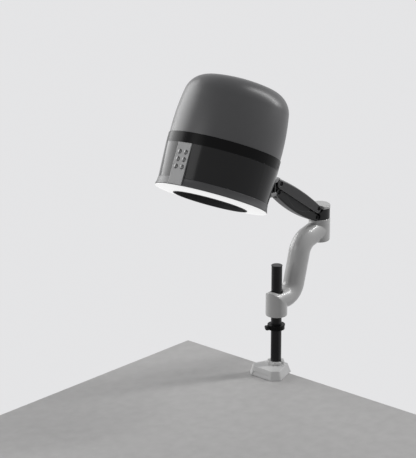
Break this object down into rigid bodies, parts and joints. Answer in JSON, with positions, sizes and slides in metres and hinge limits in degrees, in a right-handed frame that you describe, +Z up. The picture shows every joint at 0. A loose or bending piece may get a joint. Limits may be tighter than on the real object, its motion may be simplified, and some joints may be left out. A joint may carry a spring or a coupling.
{
  "type": "pet dryer",
  "caption": "Dome-shaped drying head with a lit ring, air outlet and button panel, hung on a counterbalanced spring arm and a curved post arm that clamps to a table edge.",
  "frame": {"origin": "on the pole's axis, in the plane of the table top that the base stands on", "axes": "+Z up the pole, -Y from the pole over the table towards the head's panel, +X to the right when facing the panel from the table side"},
  "size_m": [0.3154, 0.6234, 1.0399],
  "materials": {
    "rubber": "matte",
    "steel": "brushed",
    "white_paint": "satin gloss",
    "base_plastic": "satin",
    "pole_metal": "satin",
    "black_gloss": "gloss",
    "bracket_paint": "satin",
    "screw_metal": "polished",
    "knob_plastic": "matte",
    "hub_black": "satin",
    "arm_cover": "satin",
    "arm_lower": "satin",
    "spring_paint": "gloss",
    "dome_plastic": "satin",
    "shell_plastic": "satin",
    "skirt_plastic": "satin",
    "diffuser_glow": "frosted",
    "deck_plastic": "matte",
    "lamp_board": "matte",
    "duct_plastic": "matte",
    "grille_black": "matte",
    "heater_metal": "bare",
    "impeller_plastic": "matte",
    "motor_metal": "plated",
    "mount_metal": "cast",
    "filter_foam": "foam",
    "board_green": "lacquered",
    "panel_plastic": "satin gloss",
    "gland_plastic": "matte",
    "button_metal": "polished"
  },
  "bodies": {
    "stand": {"base_pad": "rubber", "base_plate": "steel", "base_cover": "base_plastic", "pole_socket": "base_plastic", "pole": "pole_metal", "pole_cap": "pole_metal", "clamp_back": "bracket_paint", "clamp_jaw": "bracket_paint", "clamp_nut": "steel", "clamp_bolts": "steel"},
    "clamp_foot": {"clamp_pad": "rubber", "pad_cup": "bracket_paint"},
    "clamp_spindle": {"clamp_screw": "screw_metal", "clamp_knob": "knob_plastic"},
    "collar": {"stop_collar": "black_gloss"},
    "collar_thumb": {"collar_screw": "pole_metal"},
    "carriage": {"sleeve_bush": "knob_plastic"},
    "curved_arm": {"s_arm": "white_paint", "barrel_bush": "knob_plastic"},
    "shoulder": {"shoulder_hub": "hub_black", "shoulder_cap": "white_paint", "shoulder_pin": "steel", "shoulder_pivots": "steel"},
    "upper_arm": {"upper_cover": "arm_cover", "upper_link": "steel"},
    "lower_arm": {"lower_cover": "arm_lower"},
    "spring_barrel": {"gas_spring_tube": "spring_paint"},
    "spring_piston": {"gas_spring_rod": "steel"},
    "arm_end": {"end_bracket": "bracket_paint", "head_pivots": "steel", "yaw_pin": "steel"},
    "yaw_hub": {"yaw_block": "hub_black"},
    "head_carrier": {"tilt_fork": "hub_black", "tilt_pin": "steel", "roll_pin": "steel"},
    "head": {"dome_cover": "dome_plastic", "intake_band": "black_gloss", "air_filter": "filter_foam", "lower_shell": "shell_plastic", "skirt_ring": "skirt_plastic", "diffuser": "diffuser_glow", "deck_ring": "deck_plastic", "led_board": "lamp_board", "fan_duct": "duct_plastic", "outlet_grille": "grille_black", "heater": "heater_metal", "motor": "motor_metal", "motor_mount": "mount_metal", "control_board": "board_green", "control_panel": "panel_plastic", "panel_board": "board_green", "head_mount": "mount_metal", "cable_gland": "gland_plastic"},
    "fan": {"impeller": "impeller_plastic"},
    "key_power": {"button_power": "button_metal"},
    "key_heat": {"button_heat": "button_metal"},
    "key_fan_up": {"button_fan_up": "button_metal"},
    "key_fan_down": {"button_fan_down": "button_metal"},
    "key_light": {"button_light": "button_metal"},
    "key_timer": {"button_timer": "button_metal"}
  },
  "joints": [
    {"name": "clamp_travel", "type": "slide", "parent": "stand", "child": "clamp_foot", "axis": [0, 0, 1], "range_m": [-0.025, 0.02]},
    {"name": "clamp_screw_turn", "type": "hinge", "parent": "clamp_foot", "child": "clamp_spindle", "pos_m": [0, -0.024, -0.06], "axis": [0, 0, 1], "range_deg": [-3002, 2402]},
    {"name": "collar_height", "type": "slide", "parent": "stand", "child": "collar", "axis": [0, 0, 1], "range_m": [-0.085, 0.01]},
    {"name": "collar_screw_turn", "type": "hinge", "parent": "collar", "child": "collar_thumb", "pos_m": [-0.01333, -0.02405, 0.135], "axis": [0.8746, -0.4848, 0], "range_deg": [0, 360]},
    {"name": "arm_height", "type": "slide", "parent": "stand", "child": "carriage", "axis": [0, 0, 1], "range_m": [-0.014, 0.07]},
    {"name": "arm_swivel", "type": "hinge", "parent": "carriage", "child": "curved_arm", "pos_m": [0, 0, 0.171], "axis": [0, 0, 1], "range_deg": [-150, 150]},
    {"name": "shoulder_swivel", "type": "hinge", "parent": "curved_arm", "child": "shoulder", "pos_m": [0, 0.185, 0.4126], "axis": [0, 0, 1], "range_deg": [-150, 150]},
    {"name": "arm_lift", "type": "hinge", "parent": "shoulder", "child": "upper_arm", "pos_m": [0, 0.1558, 0.4489], "axis": [-1, 0, 0], "range_deg": [-40, 26]},
    {"name": "lower_arm_follow", "type": "hinge", "parent": "shoulder", "child": "lower_arm", "pos_m": [0, 0.1516, 0.4239], "axis": [-1, 0, 0], "range_deg": [-40, 26]},
    {"name": "arm_end_level", "type": "hinge", "parent": "upper_arm", "child": "arm_end", "pos_m": [0, -0.00918, 0.55893], "axis": [-1, 0, 0], "range_deg": [-26, 40]},
    {"name": "spring_foot_turn", "type": "hinge", "parent": "shoulder", "child": "spring_piston", "pos_m": [0, 0.15, 0.436], "axis": [-1, 0, 0], "range_deg": [-40, 26]},
    {"name": "spring_head_turn", "type": "hinge", "parent": "upper_arm", "child": "spring_barrel", "pos_m": [0, 0.01603, 0.54211], "axis": [-1, 0, 0], "range_deg": [-2, 2]},
    {"name": "head_yaw", "type": "hinge", "parent": "arm_end", "child": "yaw_hub", "pos_m": [0, -0.04548, 0.55103], "axis": [0, 0, 1], "range_deg": [-90, 90]},
    {"name": "head_tilt", "type": "hinge", "parent": "yaw_hub", "child": "head_carrier", "pos_m": [-0.00122, -0.07595, 0.55103], "axis": [0.9992, -0.0401, 0], "range_deg": [-18, 55]},
    {"name": "head_roll", "type": "hinge", "parent": "head_carrier", "child": "head", "pos_m": [-0.00122, -0.07595, 0.55103], "axis": [0.0358, 0.8911, -0.4524], "range_deg": [-40, 50]},
    {"name": "fan_spin", "type": "hinge", "parent": "head", "child": "fan", "pos_m": [-0.01296, -0.19895, 0.71256], "axis": [-0.0586, 0.4538, 0.8892], "continuous": true},
    {"name": "press_power", "type": "slide", "parent": "head", "child": "key_power", "axis": [0.0358, 0.8911, -0.4524], "range_m": [0, 0.0012], "stiffness_N_per_m": 600, "springref_m": -0.0004},
    {"name": "press_heat", "type": "slide", "parent": "head", "child": "key_heat", "axis": [0.0358, 0.8911, -0.4524], "range_m": [0, 0.0012], "stiffness_N_per_m": 600, "springref_m": -0.0004},
    {"name": "press_fan_up", "type": "slide", "parent": "head", "child": "key_fan_up", "axis": [0.0358, 0.8911, -0.4524], "range_m": [0, 0.0012], "stiffness_N_per_m": 600, "springref_m": -0.0004},
    {"name": "press_fan_down", "type": "slide", "parent": "head", "child": "key_fan_down", "axis": [0.0358, 0.8911, -0.4524], "range_m": [0, 0.0012], "stiffness_N_per_m": 600, "springref_m": -0.0004},
    {"name": "press_light", "type": "slide", "parent": "head", "child": "key_light", "axis": [0.0358, 0.8911, -0.4524], "range_m": [0, 0.0012], "stiffness_N_per_m": 600, "springref_m": -0.0004},
    {"name": "press_timer", "type": "slide", "parent": "head", "child": "key_timer", "axis": [0.0358, 0.8911, -0.4524], "range_m": [0, 0.0012], "stiffness_N_per_m": 600, "springref_m": -0.0004}
  ],
  "couplings": [
    {"joint": "lower_arm_follow", "follows": "arm_lift", "ratio": 1},
    {"joint": "arm_end_level", "follows": "arm_lift", "ratio": -1},
    {"joint": "spring_foot_turn", "follows": "arm_lift", "ratio": 0.99},
    {"joint": "spring_head_turn", "follows": "arm_lift", "ratio": -0.01},
    {"joint": "clamp_screw_turn", "follows": "clamp_travel", "rad_per_m": 2094.4}
  ]
}
